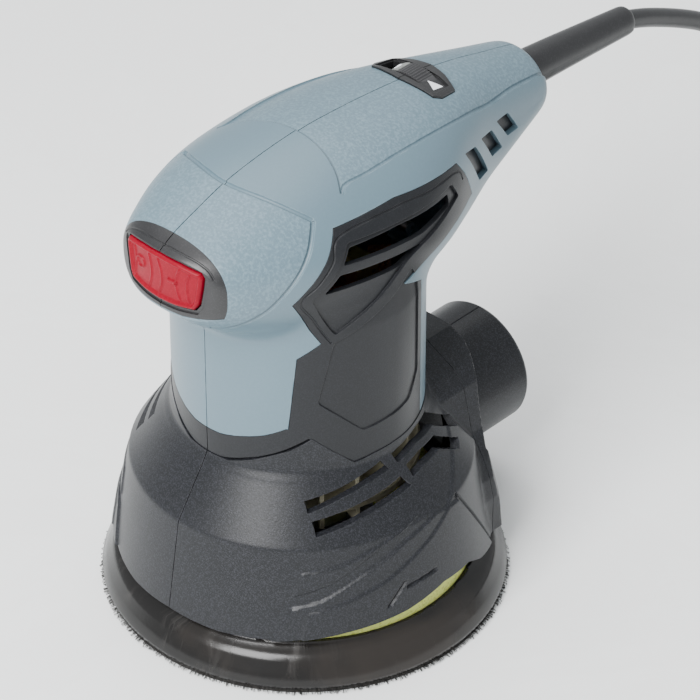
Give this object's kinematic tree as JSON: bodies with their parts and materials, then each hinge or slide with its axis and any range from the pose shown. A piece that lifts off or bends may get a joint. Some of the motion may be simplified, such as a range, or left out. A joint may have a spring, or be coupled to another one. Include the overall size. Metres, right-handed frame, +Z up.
{
  "type": "random orbit sander",
  "caption": "Palm-grip random-orbit sander: round hook-faced pad, round skirt with rear dust port, column grip under a barrel head, rocker switch, speed dial and mains cord.",
  "frame": {"origin": "on the motor axis where it meets the sanding face, which is on the floor", "axes": "+Z up the motor axis; +Y towards the dust port and the cord; -Y is the nose with the switch"},
  "size_m": [0.2142, 0.31, 0.1592],
  "materials": {
    "grey_shell": "fine moulded texture",
    "black_shell": "fine moulded texture with a slight metallic fleck",
    "black_trim": "satin",
    "red_rubber": "satin soft touch",
    "dial_plastic": "ribbed, satin",
    "board_box": "potted board",
    "rubber": "matt",
    "laminations": "stacked steel sheets",
    "copper": "enamelled copper wire",
    "steel": "ground",
    "brass": "stamped brass",
    "carbon": "pressed carbon",
    "fan_plastic": "natural nylon",
    "cast_alloy": "die cast",
    "pad_rubber": "scuffed, glossy in places",
    "yellow_foam": "moulded polyurethane",
    "hook_fabric": "hook tape",
    "film_capacitor": "dipped",
    "wire": "insulated wire",
    "cord_rubber": "smooth sheath",
    "plug_plastic": "moulded",
    "nickel": "nickel plated"
  },
  "bodies": {
    "housing": {"left_housing": "grey_shell", "right_housing": "grey_shell", "left_side_panel": "black_shell", "right_side_panel": "black_shell", "left_nose_bezel": "black_trim", "right_nose_bezel": "black_trim", "switch_body": "black_trim", "left_dial_bezel": "black_trim", "right_dial_bezel": "black_trim", "speed_module": "board_box", "left_skirt": "black_shell", "right_skirt": "black_shell", "dust_duct": "black_shell", "brake_ring": "rubber", "stator_core": "laminations", "field_windings": "copper", "upper_bearing": "steel", "lower_bearing": "steel", "bearing_sleeve": "rubber", "bearing_bracket": "cast_alloy", "brush_holders": "brass", "carbon_brushes": "carbon", "brush_springs": "steel", "housing_screws": "steel", "skirt_screws": "steel", "capacitor": "film_capacitor", "internal_wires": "wire", "cord_clamp": "black_trim", "clamp_screws": "steel", "strain_relief": "cord_rubber", "cord_tube": "cord_rubber", "cord_coil": "cord_rubber", "cord_lead": "cord_rubber", "cord_plug": "plug_plastic", "plug_pins": "nickel"},
    "rotor": {"armature_shaft": "steel", "armature_core": "laminations", "commutator": "copper", "cooling_fan": "fan_plastic", "counterweight": "cast_alloy", "pad_bearing": "steel"},
    "pad": {"pad_carrier": "cast_alloy", "backing_pad": "pad_rubber", "pad_foam": "yellow_foam", "hook_layer": "hook_fabric", "pad_screws": "steel"},
    "switch": {"switch_cap": "red_rubber", "switch_rocker": "black_trim"},
    "dial": {"speed_dial": "dial_plastic"}
  },
  "joints": [
    {"name": "motor_spin", "type": "hinge", "parent": "housing", "child": "rotor", "pos_m": [0, 0, 0.05], "axis": [0, 0, 1], "continuous": true},
    {"name": "pad_spin", "type": "hinge", "parent": "rotor", "child": "pad", "pos_m": [0.00125, 0, 0.02], "axis": [0, 0, 1], "continuous": true},
    {"name": "switch_rock", "type": "hinge", "parent": "housing", "child": "switch", "pos_m": [0, -0.0515, 0.1363], "axis": [0, 0, 1], "range_deg": [-4, 4]},
    {"name": "dial_turn", "type": "hinge", "parent": "housing", "child": "dial", "pos_m": [0, 0.0482, 0.145], "axis": [0, 1, 0], "range_deg": [-250, 20]}
  ]
}
